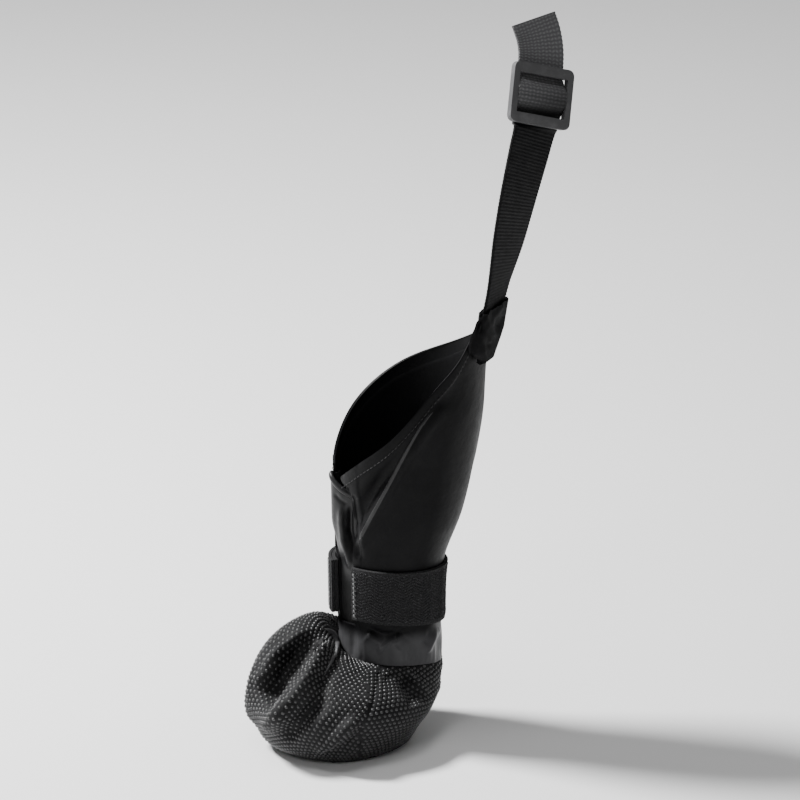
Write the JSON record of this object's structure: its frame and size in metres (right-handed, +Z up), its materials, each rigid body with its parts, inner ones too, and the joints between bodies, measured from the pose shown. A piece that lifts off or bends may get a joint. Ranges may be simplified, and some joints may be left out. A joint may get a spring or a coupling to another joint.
{
  "type": "dog boot",
  "caption": "Dog boot with a gathered non-slip foot pouch, slit gaiter shaft, hook-and-loop ankle strap and a rising webbing with slide buckle.",
  "frame": {"origin": "on the floor under the middle of the foot, on the sole's flat underside", "axes": "+X towards the toe, +Y towards the dog's left, which is this boot's outer side, +Z up"},
  "size_m": [0.1533, 0.0913, 0.3462],
  "materials": {
    "non_slip_fabric": "raised glossy dots on matte black",
    "non_slip_sole": "matte black with raised dots",
    "softshell": "smooth satin black",
    "loop_tape": "fuzzy matte black",
    "webbing": "ribbed black",
    "buckle_plastic": "satin black",
    "lining": "soft matte black"
  },
  "bodies": {
    "root": {"sole": "non_slip_sole", "insole": "lining", "foot_pouch": "non_slip_fabric", "shaft": "softshell", "throat_gusset": "softshell", "ankle_strap": "loop_tape", "strap_end": "loop_tape", "peak_tab": "softshell", "suspender_webbing": "webbing", "slide_buckle": "buckle_plastic"}
  },
  "joints": []
}
